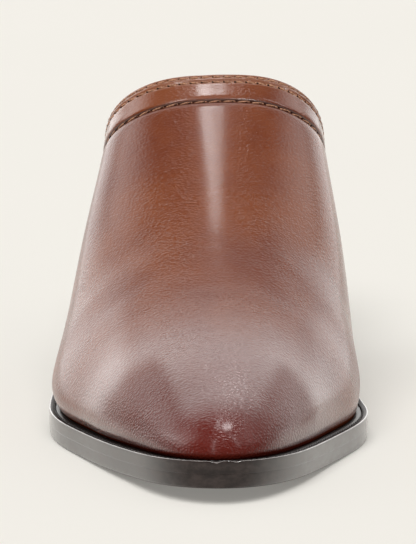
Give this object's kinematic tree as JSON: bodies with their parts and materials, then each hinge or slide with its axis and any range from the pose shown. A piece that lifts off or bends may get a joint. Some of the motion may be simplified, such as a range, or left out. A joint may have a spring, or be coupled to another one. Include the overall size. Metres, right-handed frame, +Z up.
{
  "type": "mule shoe",
  "caption": "Backless pointed-toe leather mule for the right foot, with a stitched collar band, a stitched sole edge and a stacked block heel.",
  "frame": {"origin": "on the floor, under the middle of the sole's length and width", "axes": "the toe points along -Y, the medial side is +X and +Z is up"},
  "size_m": [0.0866, 0.262, 0.092],
  "materials": {
    "vamp_leather": "polished smooth saddle brown, burnished dark red at the toe",
    "band_leather": "polished smooth saddle brown",
    "sole_edge": "waxed dark brown edge, stitched on its ledge",
    "sock_leather": "matt light tan",
    "heel_stack": "waxed dark brown stacked layers",
    "lift_rubber": "matt black"
  },
  "bodies": {
    "root": {"outsole": "sole_edge", "midsole": "sole_edge", "insole": "sock_leather", "upper": "vamp_leather", "collar_band": "band_leather", "heel_block": "heel_stack", "top_lift": "lift_rubber"}
  },
  "joints": []
}
